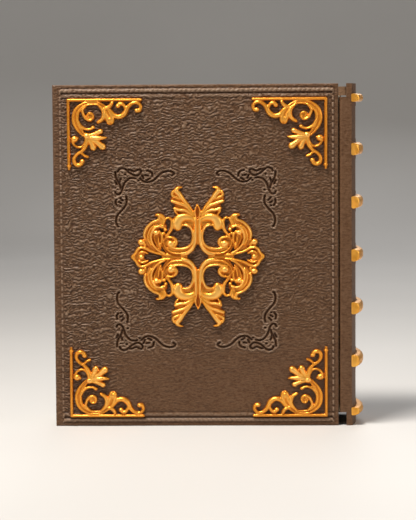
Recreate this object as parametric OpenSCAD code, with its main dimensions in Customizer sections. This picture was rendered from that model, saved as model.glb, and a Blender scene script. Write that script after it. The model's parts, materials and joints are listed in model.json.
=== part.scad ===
// Book cryptex: a hollow book whose rounded spine holds six letter rings.
// Millimetres. +Z runs up the spine, +X points to the spine, the fixed back cover faces -Y.
// The origin is the middle of the footprint, on the surface that the book stands on.

/* [Book] */
// Height of the covers
cover_h = 210; // [205:1:220]
// Width of a cover, from fore edge to spine edge
cover_w = 174.5; // [170:0.5:190]
// Thickness of the closed book over both boards
book_t = 46; // [46:0.5:50]
// Thickness of a cover board
board_t = 4; // [4:0.1:4.5]
// How far the boards stand past the page block at head and tail
page_inset = 8.2; // [8:0.1:9]
// How far the boards stand past the page block at the fore edge
fore_inset = 6; // [5:0.5:12]
// How far the gilt ornaments stand off a board
gilt_t = 3; // [1.5:0.1:4]

/* [Spine] */
// Depth of the spine, from its hinge edge to the top of its round back
spine_d = 11.1; // [11:0.1:12]
// Radius of the round back, seen from above
back_r = 75.3; // [70:0.1:85]
// Thickness of the round back
back_wall = 3; // [2.5:0.1:3]
// Gap between a board and the spine
hinge_gap = 0.6; // [0.6:0.1:1.2]
// How far the raised bands stand off the round back
band_rise = 4.4; // [3:0.1:5]
// Height of a middle raised band
mid_band = 7.5; // [7:0.1:7.6]
// Height of the bands at head and tail
end_band = 5; // [4:0.1:5.5]
// Distance from the ends of the spine to the end bands
band_margin = 6.25; // [6:0.05:7]

/* [Lock] */
// Outer radius of a letter ring
ring_r = 17; // [16.6:0.1:17]
// Height of a letter ring
ring_h = 19; // [18:0.5:19]
// Letters on each ring
letters = 26; // [20:1:30]
// How far the lock spindle travels
lock_travel = 8; // [8]
// Radius of the spindle
spindle_r = 5.5; // [5:0.1:5.5]
// Radial running clearance of rings, spindle and hinge
run_gap = 0.1; // [0.06:0.01:0.1]

/* [Hidden] */
$fn = 64;

leather = [0.42, 0.33, 0.25];
gilt = [0.9, 0.6, 0.2];
paper = [0.88, 0.82, 0.68];
steel = [0.7, 0.7, 0.72];
brass = [0.8, 0.65, 0.35];
ring_colour = [0.16, 0.13, 0.11];
felt = [0.35, 0.08, 0.1];

// Widths across the book
total_w = cover_w + hinge_gap + spine_d + band_rise;
fore_x = -total_w / 2;
edge_x = fore_x + cover_w;
strip_x = edge_x + hinge_gap;
apex_x = strip_x + spine_d;
back_x = apex_x - back_r;

// Thicknesses through the book
half_t = book_t / 2;
board_y = half_t - board_t;
cover_gap = 0.2;
side_wall = board_t - cover_gap;
side_y = half_t - side_wall;

// Hinge of the front cover
hinge_r = side_wall / 2;
hinge_x = strip_x + hinge_r;
hinge_y = half_t - hinge_r;
pin_r = 1;
pin_depth = 10;
lug_h = 5.6;
lug_margin = 1.5;
lug_reach = 2.4;
lug_room = 0.6;
notch_x = hinge_x + hinge_r + 0.5;
front_notch_x = hinge_x + lug_reach + hinge_r + lug_room;

// Stack of windows and bands up the spine
rings = 6;
window_gap = (cover_h - 2 * band_margin - 2 * end_band - (rings - 1) * mid_band) / rings;
pitch = window_gap + mid_band;
first_z = band_margin + end_band + window_gap / 2;
window_h = ring_h + 1;
window_w = 20;
function ring_z(i) = first_z + (i - 1) * pitch;

// Letter rings and what they turn on
ring_recess = 0.6;
ring_x = apex_x - ring_recess - ring_r;
cavity_r = ring_r + 0.5;
disc_r = 13.4;
disc_gap = 0.05;
free_r = 11;
web_h = 3;
notch_w = 2;
notch_r = 10.5;
flute_r = 0.9;
tube_bore = spindle_r + run_gap;
tube_wall = 2.5;
tube_r = tube_bore + tube_wall;
disc_bore = tube_r + run_gap;
sleeve_r = 12.5;
sleeve_slot = 3;
end_play = 0.1;

// Spindle, lock bar and bolts, drawn dropped, with the book unlocked
tooth_w = 1.6;
tooth_h = 4;
tooth_r = 10.3;
tooth_drop = (lock_travel + tooth_h) / 2;
slot_w = 2.2;
wall = 3;
floor_t = 1.2;
stop_gap = 0.1;
clearance = 0.5;
bar_z = page_inset + wall + stop_gap;
bar_top = cover_h - page_inset - wall - lock_travel - clearance;
bar_x = 49;
bar_t = 3;
bar_w = 6;
arm_depth = 2;
arm_zs = [(ring_z(1) + ring_z(2)) / 2 - tooth_drop, (ring_z(5) + ring_z(6)) / 2 - tooth_drop];
button_z = 0.8;
button_top = page_inset + wall + 0.6;
bolt_r = 1.8;
bolt_x = 50;
bolt_y = 10;
bolt_drop = 1;
bracket_h = 4;
bracket_rim = 1.2;
staple_pitch = 60;
staple_zs = [cover_h / 2 - staple_pitch, cover_h / 2, cover_h / 2 + staple_pitch];

// Staples on the front cover
staple_t = 4;
staple_w = 7;
staple_reach = 13;
eye_r = 2.3;
base_t = 1.5;
base_w = 24;
base_h = 9;
base_screw = 9;
function bracket_z(z) = z - staple_t / 2 - lock_travel - clearance - bracket_h;

// Page block, with its box on the fore side and the lock chamber on the spine side
block_x = fore_x + fore_inset;
block_z = page_inset;
block_top = cover_h - page_inset;
block_end = 79.5;
block_y = board_y - cover_gap;
divider_x = 40;
divider_t = 2;
chamber_x = divider_x + divider_t;
plate_t = 1.2;
boss_x = 45;
boss_r = 2.6;
boss_zs = [20, 75, 135, cover_h - 20];
screw_r = 0.9;
screw_head_r = 1.9;
screw_len = 8;
felt_t = 1.5;
cover_screw_r = 1.5;
cover_screw_len = 2.6;
cover_head_r = 2.8;
cover_screw_inset = 12;
cover_screw_z = 24;
cover_screw_places = [
    for (
        x = [block_x + cover_screw_inset, (block_x + divider_x) / 2, divider_x - cover_screw_inset],
        z = [cover_screw_z, cover_h / 2, cover_h - cover_screw_z]
    ) [x, z]
];
plate_slot_x = 43;
plate_slot_w = 11.5;
plate_slot_h = 6;

// Gilt ornaments, placed from the outer corners of their border bars
gilt_fore = 8.7;
gilt_spine = 6.5;
gilt_head = 8.1;
gilt_tail = 5.4;
gilt_rise = 1;
gilt_left = fore_x + gilt_fore;
gilt_right = edge_x - gilt_spine;
gilt_top = cover_h - gilt_head;
gilt_bottom = gilt_tail;
gilt_mid_x = (gilt_left + gilt_right) / 2;
gilt_mid_z = (gilt_top + gilt_bottom) / 2 + gilt_rise;
gilt_bar = 2;
bar_long = 46.5;
bar_short = 43;

// Strokes of a corner ornament: x and y from the corner of the bars, then the width
CORNER = [
    [[10.6, 23.3, 1.6], [6.7, 18.4, 2.5], [4.3, 12.8, 4.2], [5.6, 8.1, 3.8], [8.8, 4.4, 2.8], [13.6, 2.7, 2.2],
     [17.9, 2.7, 2.2], [21.3, 4.4, 2.2], [23.9, 6.8, 3.5], [26.1, 10.7, 4.2], [26.5, 14.6, 1.5]],
    [[15.3, 3.8, 1.8], [11, 5.3, 1.8], [9.4, 8.5, 1.8], [10.6, 12, 1.8], [13.1, 13.9, 1.8],
     [15.9, 12.8, 1.8], [16.2, 10.3, 1.8], [13.8, 9.2, 1.8]],
    [[18.7, 3.8, 1.5], [21.8, 6.4, 2.2], [23.3, 9.4, 2.8], [22.6, 12.8, 2.4], [20.5, 14.8, 1.4]],
    [[23.9, 5.9, 2], [26.1, 5.1, 2], [27.4, 2.9, 2]],
    [[27.4, 8.1, 3], [29.1, 10.7, 3], [31.7, 11.6, 2.8], [34.7, 10.7, 2.5], [36.4, 7.7, 2], [38.6, 4.7, 1.8],
     [41.2, 3.1, 1.8], [44.2, 3.8, 1.8], [45.5, 5.9, 1.9], [44.2, 8.1, 2.4]],
    [[36.4, 5.9, 1.5], [35.1, 3.6, 1.5], [33, 2.7, 1.5], [31.2, 3.8, 1.5]],
    [[8, 15.4, 2], [10.1, 18.4, 2], [13.1, 19.5, 2], [16.6, 18.4, 2]],
    [[11.9, 23.2, 2.6], [16.5, 21.9, 2.4], [21.1, 20.4, 2.6]],
    [[12, 23.6, 2.2], [18.7, 24.9, 3], [24.1, 24.7, 1]],
    [[12, 24, 2.2], [17.5, 26.6, 2.6], [22.6, 30.5, 2.4]],
    [[12, 24.4, 2.2], [14.4, 27.5, 2.4], [16.2, 31.2, 2.4]],
    [[12.7, 25.8, 3], [11.9, 30.1, 2.6], [8.8, 33.3, 2.2], [5.4, 35, 1.9], [3.9, 37.4, 1.9], [4.5, 40.2, 2],
     [6.7, 41.3, 2], [8.6, 40.4, 2.2], [9.1, 38.9, 2.2]],
    [[8.8, 34.4, 1.6], [10.6, 35.9, 1.4], [12.3, 36.3, 0.9]],
    [[11.4, 24.5, 1.5], [10.6, 27.9, 1.8], [8, 29.6, 2], [5.2, 28.6, 2.2], [3.7, 26.2, 2.2],
     [4.3, 24.3, 2.4], [6.5, 24.7, 2.4]]
];

// Strokes of one quarter of the medallion: x and y from its middle, then the width
MEDALLION = [
    [[0.5, 22.4, 3.5], [5.8, 25.4, 5.5], [10.7, 24.9, 5.5], [13.9, 22.1, 5], [11.8, 18.2, 4]],
    [[1.9, 16.8, 1.6], [4.4, 20.7, 2], [7.9, 21.7, 2], [10, 19.6, 1.6]],
    [[2.1, 20.3, 3.6], [1.8, 14, 3.6], [2.3, 9.7, 3.8], [4.7, 5.5, 4.2], [8.6, 3, 4.4], [12.8, 2.5, 4.2],
     [17.1, 3.4, 3.8], [19.9, 5.9, 3.2], [20.7, 9, 2.8], [19.2, 11.7, 2.6], [16.4, 12.5, 2.5],
     [13.5, 11.1, 2.4], [12.8, 9, 2.2], [15.3, 7.3, 2.2]],
    [[1.6, 26.3, 2.4], [5.1, 30.9, 3], [9, 35.8, 4.2], [12.1, 39.3, 4.5], [12.5, 41.8, 3], [9.7, 43, 1]],
    [[2.3, 27, 1.5], [7.2, 31.6, 2.4], [12.1, 34.1, 2.6], [15.7, 34.4, 1.8]],
    [[2.3, 25.6, 1.5], [6.5, 28.8, 2.4], [10.7, 30, 2.8], [13.9, 28.8, 2]],
    [[0, 24.9, 3.4], [0, 32.4, 2.4]],
    [[21.3, 0.9, 2.5], [25.5, 4.1, 3.5], [29.8, 8.3, 4.5], [32, 13.3, 5], [30.8, 18.2, 5],
     [27.6, 22.4, 4], [23.8, 25.2, 3], [24.8, 27, 1]],
    [[20.6, 4.1, 2], [24.8, 7.6, 2.4], [27.6, 11.8, 2.4], [26.9, 16.1, 2.4], [24.1, 17.8, 2.4],
     [21.3, 16.1, 2.4]],
    [[24.3, 15, 3.6], [24.2, 13, 3], [23.4, 10.4, 2.4], [20.2, 7.6, 2]],
    [[15.3, 22.8, 2.2], [16.7, 18.2, 2.2], [19.5, 13.3, 2.2]],
    [[15.3, 23.1, 1.6], [16.7, 24.2, 1.6], [19.2, 24.4, 1.6], [20.6, 22.4, 3], [21, 19.2, 3]],
    [[22, 0.7, 1.8], [26.2, 2.5, 2.8], [30.5, 4.8, 2.8], [34.7, 6.1, 2.8], [37.5, 4.8, 2.6], [38.8, 2.7, 2.2],
     [40.7, 0.9, 2.6]],
    [[34.7, 9.7, 3.6], [33, 7, 3], [34, 3.6, 4], [34, 0, 6]]
];

// Points along a stroke, with steps of a smooth curve between its knots
function knot(k, i) = k[max(0, min(i, len(k) - 1))];
function blend(a, b, c, d, t) =
    b + 0.5 * t * (c - a + t * (2 * a - 5 * b + 4 * c - d + t * (3 * (b - c) + d - a)));
function curve(k, steps) = [
    for (i = [0:len(k) - 2], j = [0:steps - 1])
        blend(knot(k, i - 1), k[i], k[i + 1], knot(k, i + 2), j / steps),
    k[len(k) - 1]
];
function flat(p) = [p[0], p[1]];
function side(a, b) = let (d = flat(b - a)) [-d[1], d[0]] / norm(d);

// One stroke in plan: a chain of tapered links with round joints
module stroke(knots, steps) {
    p = curve(knots, steps);
    for (i = [0:len(p) - 1]) translate(flat(p[i])) circle(d = p[i][2], $fn = 8);
    for (i = [0:len(p) - 2]) {
        s = side(p[i], p[i + 1]);
        polygon([
            flat(p[i]) + s * p[i][2] / 2,
            flat(p[i + 1]) + s * p[i + 1][2] / 2,
            flat(p[i + 1]) - s * p[i + 1][2] / 2,
            flat(p[i]) - s * p[i][2] / 2
        ]);
    }
}

// A corner ornament in plan, its bars along +X and +Y
module corner_outline() {
    offset(delta = 0.01) {
        square([bar_long, gilt_bar]);
        square([gilt_bar, bar_short]);
        for (s = CORNER) stroke(s, 2);
    }
}

module medallion_outline() {
    offset(delta = 0.01)
        for (mx = [0, 1], my = [0, 1])
            mirror([mx, 0]) mirror([0, my])
                for (s = MEDALLION) stroke(s, 1);
}

// Stands a plan shape up on the outside of a board: side -1 is the back cover, 1 the front cover
module on_board(side) {
    translate([0, side * half_t + (side < 0 ? 0 : gilt_t), 0])
        rotate([90, 0, 0])
            linear_extrude(gilt_t) children();
}

// Corners 1 to 4 are head fore edge, head spine, tail fore edge, tail spine
module corner_ornament(side, i) {
    spine = i % 2 == 0;
    tail = i > 2;
    color(gilt)
        on_board(side)
            translate([spine ? gilt_right : gilt_left, tail ? gilt_bottom : gilt_top])
                mirror([spine ? 1 : 0, 0]) mirror([0, tail ? 0 : 1])
                    corner_outline();
}

module medallion(side) {
    color(gilt)
        on_board(side)
            translate([gilt_mid_x, gilt_mid_z])
                medallion_outline();
}

module back_cover() {
    color(leather)
        difference() {
            translate([fore_x, -half_t, 0]) cube([cover_w, board_t, cover_h]);
            for (p = cover_screw_places)
                translate([p[0], -board_y, p[1]])
                    rotate([90, 0, 0])
                        translate([0, 0, -1]) cylinder(r = cover_screw_r, h = cover_screw_len + 1);
        }
}

// Countersunk screws that hold the back cover to the floor of the page block
module cover_screws() {
    color(steel)
        for (p = cover_screw_places)
            translate([p[0], floor_t - board_y, p[1]])
                rotate([90, 0, 0]) {
                    cylinder(r1 = cover_head_r, r2 = cover_screw_r, h = floor_t);
                    translate([0, 0, floor_t]) cylinder(r = cover_screw_r, h = cover_screw_len);
                }
}

// The round end plates of the page block reach into the spine
module end_plate() {
    intersection() {
        translate([chamber_x, -board_y]) square([apex_x - chamber_x, board_y + block_y]);
        translate([back_x, 0]) circle(r = back_r - back_wall, $fn = 200);
    }
}

module page_block() {
    inner_z = block_z + wall;
    inner_h = block_top - block_z - 2 * wall;
    floor_y = floor_t - board_y;
    color(paper)
        difference() {
            union() {
                difference() {
                    union() {
                        translate([block_x, -board_y, block_z])
                            cube([block_end - block_x, board_y + block_y, block_top - block_z]);
                        for (z = [block_z, block_top - wall])
                            translate([0, 0, z]) linear_extrude(wall) end_plate();
                    }
                    translate([block_x + wall, floor_y, inner_z])
                        cube([divider_x - block_x - wall, book_t, inner_h]);
                    translate([chamber_x, floor_y, inner_z])
                        cube([block_end, book_t, inner_h]);
                }
                for (z = boss_zs)
                    translate([boss_x, block_y - plate_t, z])
                        rotate([90, 0, 0])
                            cylinder(r = boss_r, h = block_y - plate_t - floor_y + 0.5);
            }
            // Rebates for the ends of the access plate
            for (z = [block_z + wall / 2, block_top - 1.5 * wall - 1])
                translate([chamber_x, block_y - plate_t, z])
                    cube([book_t, plate_t + 1, wall + 1]);
            for (z = boss_zs)
                translate([boss_x, block_y - plate_t, z])
                    rotate([90, 0, 0])
                        translate([0, 0, -1]) cylinder(r = screw_r, h = screw_len + 1);
            for (p = cover_screw_places)
                translate([p[0], floor_y, p[1]])
                    rotate([90, 0, 0])
                        cylinder(r1 = cover_head_r, r2 = cover_screw_r, h = floor_t);
            // Hole in the tail wall for the push button
            translate([ring_x, 0, block_z - 1]) cylinder(r = tube_bore, h = wall + 2);
        }
}

module felt_liner() {
    margin = 0.3;
    color(felt)
        translate([block_x + wall + margin, floor_t - board_y, block_z + wall + margin])
            cube([
                divider_x - block_x - wall - 2 * margin,
                felt_t,
                block_top - block_z - 2 * (wall + margin)
            ]);
}

module spine_outline() {
    difference() {
        union() {
            intersection() {
                translate([back_x, 0]) circle(r = back_r, $fn = 200);
                translate([hinge_x, -half_t]) square([spine_d, book_t]);
            }
            for (s = [-1, 1]) translate([hinge_x, s * hinge_y]) circle(r = hinge_r);
        }
        intersection() {
            translate([back_x, 0]) circle(r = back_r - back_wall, $fn = 200);
            translate([edge_x, -side_y]) square([spine_d, 2 * side_y]);
        }
    }
}

module spine_shell() {
    color(leather)
        difference() {
            linear_extrude(cover_h) spine_outline();
            // Notches at head and tail on both sides; the deeper ones are for the hinge lugs
            for (z = [-1, block_top]) {
                translate([edge_x, -half_t - 1, z])
                    cube([notch_x - edge_x, book_t + 2, page_inset + 1]);
                translate([edge_x, hinge_y - lug_reach - hinge_r - lug_room, z])
                    cube([front_notch_x - edge_x, book_t, page_inset + 1]);
            }
            for (i = [1:rings]) {
                translate([ring_x, -window_w / 2, ring_z(i) - window_h / 2])
                    cube([book_t, window_w, window_h]);
                translate([ring_x, 0, ring_z(i) - window_h / 2])
                    cylinder(r = cavity_r, h = window_h);
            }
            for (z = [block_z - 1, block_top - pin_depth])
                translate([hinge_x, hinge_y, z]) cylinder(r = pin_r, h = pin_depth + 1);
        }
}

// Bands 1 to 7 run from tail to head; the end bands are narrower
module raised_band(i) {
    last = rings + 1;
    h = (i == 1 || i == last) ? end_band : mid_band;
    z = i == 1 ? band_margin + end_band / 2
        : i == last ? cover_h - band_margin - end_band / 2
        : first_z + (i - 1.5) * pitch;
    lift = 0.6;
    bead_r = band_rise - lift;
    reach = asin(half_t / back_r) + 1;
    color(gilt)
        intersection() {
            translate([back_x, 0, z])
                rotate([0, 0, -reach])
                    rotate_extrude(angle = 2 * reach)
                        intersection() {
                            translate([back_r + lift, 0]) circle(r = bead_r);
                            translate([back_r, -h / 2]) square([band_rise + 1, h]);
                        }
            translate([back_x, -half_t, 0]) cube([back_r + book_t, book_t, cover_h]);
        }
}

// Gilt pointers beside each window, on the row of letters that makes the word
module index_marks() {
    mark_w = 3.2;
    mark_t = 0.6;
    mark_y = window_w / 2 + 1;
    color(gilt)
        intersection() {
            for (i = [1:rings])
                translate([ring_x, mark_y, ring_z(i)])
                    rotate([90, 0, 90])
                        linear_extrude(book_t)
                            polygon([[0, 0], [mark_w, mark_w * 0.6], [mark_w, -mark_w * 0.6]]);
            translate([back_x, 0, 0])
                difference() {
                    cylinder(r = back_r + mark_t, h = cover_h, $fn = 200);
                    translate([0, 0, -1]) cylinder(r = back_r, h = cover_h + 2, $fn = 200);
                }
        }
}

// Fixed tube that the rings turn on, open along one side for the spindle's teeth
module guide_tube() {
    z = block_z + wall;
    h = block_top - block_z - 2 * wall;
    color(steel)
        translate([ring_x, 0, z])
            difference() {
                cylinder(r = tube_r, h = h);
                translate([0, 0, -1]) cylinder(r = tube_bore, h = h + 2);
                translate([-book_t, -slot_w / 2, -1]) cube([book_t, slot_w, h + 2]);
            }
}

module spacer_sleeve(z0, z1) {
    color(brass)
        translate([ring_x, 0, z0 + end_play])
            difference() {
                cylinder(r = sleeve_r, h = z1 - z0 - 2 * end_play);
                translate([0, 0, -1]) cylinder(r = tube_r, h = z1 - z0 + 2);
                translate([-book_t, -sleeve_slot / 2, -1]) cube([book_t, sleeve_slot, z1 - z0 + 2]);
            }
}

module spacer_sleeves() {
    half = ring_h / 2;
    spacer_sleeve(block_z + wall, ring_z(1) - half);
    for (i = [1:rings - 1]) spacer_sleeve(ring_z(i) + half, ring_z(i + 1) - half);
    spacer_sleeve(ring_z(rings) + half, block_top - wall);
}

// Leaf springs whose noses click over the flutes of the rings
module click_springs() {
    leaf_t = 0.5;
    leaf_w = 6;
    nose_gap = 0.15;
    foot_x = 48.5;
    bend_x = 56;
    foot_y = floor_t - board_y + leaf_t / 2;
    nose = (ring_r + nose_gap + leaf_t / 2) * sqrt(0.5);
    color(steel)
        for (i = [1:rings])
            translate([0, 0, ring_z(i) - leaf_w / 2])
                linear_extrude(leaf_w) {
                    translate([foot_x, foot_y - leaf_t / 2]) square([bend_x - foot_x, leaf_t]);
                    hull() {
                        translate([bend_x, foot_y]) circle(d = leaf_t);
                        translate([ring_x - nose, -nose]) circle(d = leaf_t);
                    }
                }
}

module access_plate() {
    play = 0.2;
    z = block_z + wall / 2 + play;
    h = block_top - block_z - wall - 2 * play;
    color(steel)
        difference() {
            translate([chamber_x + play, block_y - plate_t, z])
                cube([block_end - chamber_x - 2 * play, plate_t, h]);
            for (zs = staple_zs)
                translate([plate_slot_x, block_y - plate_t - 1, zs - plate_slot_h / 2])
                    cube([plate_slot_w, plate_t + 2, plate_slot_h]);
            for (zs = boss_zs)
                translate([boss_x, block_y + 1, zs])
                    rotate([90, 0, 0]) cylinder(r = screw_r, h = plate_t + 2);
            for (zs = boss_zs)
                translate([boss_x, block_y, zs])
                    rotate([90, 0, 0])
                        cylinder(r1 = screw_head_r, r2 = screw_r, h = plate_t);
        }
}

module access_screws() {
    color(brass)
        for (zs = boss_zs)
            translate([boss_x, block_y, zs])
                rotate([90, 0, 0]) {
                    cylinder(r1 = screw_head_r, r2 = screw_r, h = plate_t);
                    translate([0, 0, plate_t]) cylinder(r = screw_r, h = screw_len - 1);
                }
}

module hinge_pin(z) {
    color(steel)
        translate([hinge_x, hinge_y, z])
            cylinder(r = pin_r, h = pin_depth + page_inset - lug_margin - 0.3);
}

module letter_ring(i) {
    color(ring_colour)
        translate([ring_x, 0, ring_z(i) - ring_h / 2])
            difference() {
                cylinder(r = ring_r, h = ring_h, $fn = 100);
                translate([0, 0, -1]) cylinder(r = disc_r + disc_gap, h = ring_h + 2);
                // A finger flute between each two letters
                for (k = [0:letters - 1])
                    rotate([0, 0, (k + 0.5) * 360 / letters])
                        translate([ring_r + flute_r * 0.5, 0, -1])
                            cylinder(r = flute_r, h = ring_h + 2, $fn = 24);
            }
}

// Code disc: the spindle's tooth passes its web only where the notch is
module lock_disc(i) {
    color(brass)
        translate([ring_x, 0, ring_z(i)])
            difference() {
                translate([0, 0, -ring_h / 2]) cylinder(r = disc_r, h = ring_h);
                translate([0, 0, -ring_h]) cylinder(r = disc_bore, h = 2 * ring_h);
                for (z = [-ring_h, web_h / 2])
                    translate([0, 0, z]) cylinder(r = free_r, h = ring_h - web_h / 2 + (z > 0 ? 1 : 0));
                translate([-notch_r, -notch_w / 2, -web_h]) cube([notch_r, notch_w, 2 * web_h]);
            }
}

module spindle() {
    color(steel)
        difference() {
            translate([ring_x, 0, 0]) {
                translate([0, 0, button_top]) cylinder(r = spindle_r, h = bar_top - button_top);
                for (i = [1:rings])
                    translate([-tooth_r, -tooth_w / 2, ring_z(i) - tooth_drop])
                        cube([tooth_r, tooth_w, tooth_h]);
            }
            // Sockets for the arms of the lock bar
            for (z = arm_zs)
                translate([ring_x - spindle_r - 1, -tooth_w / 2, z])
                    cube([arm_depth + 1, tooth_w, tooth_h]);
        }
}

module lock_bar() {
    color(steel)
        difference() {
            union() {
                translate([bar_x, -bar_w / 2, bar_z]) cube([bar_t, bar_w, bar_top - bar_z]);
                for (z = arm_zs)
                    translate([bar_x, -tooth_w / 2, z])
                        cube([ring_x - spindle_r + arm_depth - bar_x, tooth_w, tooth_h]);
                for (z = staple_zs)
                    translate([bolt_x - bolt_r - bracket_rim, 0, bracket_z(z)])
                        cube([2 * (bolt_r + bracket_rim), bolt_y + bolt_r + bracket_rim, bracket_h]);
            }
            for (z = staple_zs)
                translate([bolt_x, bolt_y, bracket_z(z) - 1]) cylinder(r = bolt_r, h = bracket_h + 2);
        }
}

module lock_bolts() {
    tip = 0.6;
    color(brass)
        for (z = staple_zs) {
            top = z - staple_t / 2 - bolt_drop;
            translate([bolt_x, bolt_y, bracket_z(z)]) cylinder(r = bolt_r, h = top - tip - bracket_z(z));
            translate([bolt_x, bolt_y, top - tip]) cylinder(r1 = bolt_r, r2 = bolt_r - tip, h = tip);
        }
}

module push_button() {
    bevel = 0.8;
    color(brass)
        translate([ring_x, 0, button_z]) {
            cylinder(r1 = spindle_r - bevel, r2 = spindle_r, h = bevel);
            translate([0, 0, bevel]) cylinder(r = spindle_r, h = button_top - button_z - bevel);
        }
}

module hinge_lug(z) {
    translate([0, 0, z])
        linear_extrude(lug_h) {
            translate([hinge_x + lug_reach, hinge_y]) circle(r = hinge_r);
            translate([edge_x - 1, side_y]) square([hinge_x + lug_reach - edge_x + 1, side_wall]);
        }
}

module front_cover() {
    color(leather)
        difference() {
            union() {
                translate([fore_x, board_y, 0]) cube([cover_w, board_t, cover_h]);
                hinge_lug(lug_margin);
                hinge_lug(cover_h - lug_margin - lug_h);
            }
            for (z = [-1, block_top])
                translate([hinge_x, hinge_y, z]) cylinder(r = pin_r + run_gap / 2, h = page_inset + 1);
            for (z = staple_zs) {
                translate([bolt_x - base_w / 2, board_y - 1, z - base_h / 2])
                    cube([base_w, base_t + 1, base_h]);
                for (s = [-1, 1])
                    translate([bolt_x + s * base_screw, board_y, z])
                        rotate([-90, 0, 0]) cylinder(r = screw_r, h = board_t - 1);
            }
        }
}

module lock_staple(i) {
    z = staple_zs[i - 1];
    color(steel)
        difference() {
            union() {
                translate([bolt_x - base_w / 2, board_y, z - base_h / 2])
                    cube([base_w, base_t, base_h]);
                translate([bolt_x - staple_w / 2, board_y - staple_reach, z - staple_t / 2])
                    cube([staple_w, staple_reach + base_t / 2, staple_t]);
            }
            translate([bolt_x, bolt_y, z - staple_t]) cylinder(r = eye_r, h = 2 * staple_t);
            for (s = [-1, 1])
                translate([bolt_x + s * base_screw, board_y, z])
                    rotate([-90, 0, 0]) cylinder(r1 = screw_head_r, r2 = screw_r, h = base_t);
        }
}

module staple_screws() {
    color(brass)
        for (z = staple_zs, s = [-1, 1])
            translate([bolt_x + s * base_screw, board_y, z])
                rotate([-90, 0, 0]) {
                    cylinder(r1 = screw_head_r, r2 = screw_r, h = base_t);
                    translate([0, 0, base_t]) cylinder(r = screw_r, h = board_t - 1 - base_t);
                }
}

back_cover();
corner_ornament(-1, 1);  // back_corner_1
corner_ornament(-1, 2);  // back_corner_2
corner_ornament(-1, 3);  // back_corner_3
corner_ornament(-1, 4);  // back_corner_4
medallion(-1);  // back_medallion
page_block();
felt_liner();
spine_shell();
raised_band(1);  // raised_band_1
raised_band(2);  // raised_band_2
raised_band(3);  // raised_band_3
raised_band(4);  // raised_band_4
raised_band(5);  // raised_band_5
raised_band(6);  // raised_band_6
raised_band(7);  // raised_band_7
index_marks();
guide_tube();
spacer_sleeves();
click_springs();
access_plate();
access_screws();
cover_screws();
hinge_pin(block_top - pin_depth);  // hinge_pin_top
hinge_pin(lug_margin + 0.3);  // hinge_pin_bottom
letter_ring(1);  // letter_ring_1
letter_ring(2);  // letter_ring_2
letter_ring(3);  // letter_ring_3
letter_ring(4);  // letter_ring_4
letter_ring(5);  // letter_ring_5
letter_ring(6);  // letter_ring_6
lock_disc(1);  // lock_disc_1
lock_disc(2);  // lock_disc_2
lock_disc(3);  // lock_disc_3
lock_disc(4);  // lock_disc_4
lock_disc(5);  // lock_disc_5
lock_disc(6);  // lock_disc_6
spindle();
lock_bar();
lock_bolts();
push_button();
front_cover();
corner_ornament(1, 1);  // front_corner_1
corner_ornament(1, 2);  // front_corner_2
corner_ornament(1, 3);  // front_corner_3
corner_ornament(1, 4);  // front_corner_4
medallion(1);  // front_medallion
lock_staple(1);  // lock_staple_1
lock_staple(2);  // lock_staple_2
lock_staple(3);  // lock_staple_3
staple_screws();
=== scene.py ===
"""Looks of the book cryptex: leather boards, gilt ornaments, lettered rings, page edges, felt and metals."""

import json
import math

import bpy
import numpy as np
from mathutils import Matrix, Vector

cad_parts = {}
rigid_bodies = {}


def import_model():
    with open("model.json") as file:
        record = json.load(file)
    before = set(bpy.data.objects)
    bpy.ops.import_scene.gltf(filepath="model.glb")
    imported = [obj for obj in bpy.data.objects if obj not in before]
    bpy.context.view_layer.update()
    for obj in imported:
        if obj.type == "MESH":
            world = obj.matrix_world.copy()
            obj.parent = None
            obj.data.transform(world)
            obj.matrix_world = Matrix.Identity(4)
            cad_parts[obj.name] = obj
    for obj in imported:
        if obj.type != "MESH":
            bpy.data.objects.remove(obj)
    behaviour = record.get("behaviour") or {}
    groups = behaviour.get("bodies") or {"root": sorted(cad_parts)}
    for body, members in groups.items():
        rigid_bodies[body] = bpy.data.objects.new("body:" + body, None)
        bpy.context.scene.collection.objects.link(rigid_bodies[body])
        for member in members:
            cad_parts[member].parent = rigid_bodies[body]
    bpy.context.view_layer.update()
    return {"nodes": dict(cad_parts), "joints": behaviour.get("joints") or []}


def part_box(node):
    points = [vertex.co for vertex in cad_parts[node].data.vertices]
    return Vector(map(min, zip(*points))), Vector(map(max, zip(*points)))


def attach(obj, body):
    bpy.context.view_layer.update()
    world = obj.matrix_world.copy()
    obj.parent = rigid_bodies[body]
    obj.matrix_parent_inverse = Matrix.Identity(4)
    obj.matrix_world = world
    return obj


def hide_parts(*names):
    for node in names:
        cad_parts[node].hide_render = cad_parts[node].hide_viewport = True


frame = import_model()
MM = 0.001


# ------------ measures from the frame, in millimetres
def box_mm(node):
    """The low and high corners of a CAD node."""
    lo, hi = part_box(node)
    return np.array(lo) / MM, np.array(hi) / MM


def joint(name):
    """A joint of the frame by its name."""
    return next(j for j in frame["joints"] if j["name"] == name)


BACK_LO, BACK_HI = box_mm("back_cover")
FORE_X, EDGE_X, HEAD_Z = BACK_LO[0], BACK_HI[0], BACK_HI[2]
HALF_T, BOARD_Y = -BACK_LO[1], -BACK_HI[1]
RINGS = 6
RING_X = joint("ring_1_turn")["pos_m"][0] / MM
RING_ZS = [joint(f"ring_{i}_turn")["pos_m"][2] / MM for i in range(1, RINGS + 1)]
RING_R = RING_X - box_mm("letter_ring_1")[0][0]
HINGE = np.array(joint("cover_hinge")["pos_m"]) / MM


# ------------ camera
CAMERA_AT = Vector((0.0292, -1.2061, 0.1947))
CAMERA_LENS, SENSOR_W = 134, 36
CAMERA_YAW, CAMERA_PITCH, CAMERA_ROLL = (math.radians(a) for a in (-1.45, -4.45, -0.375))


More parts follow.
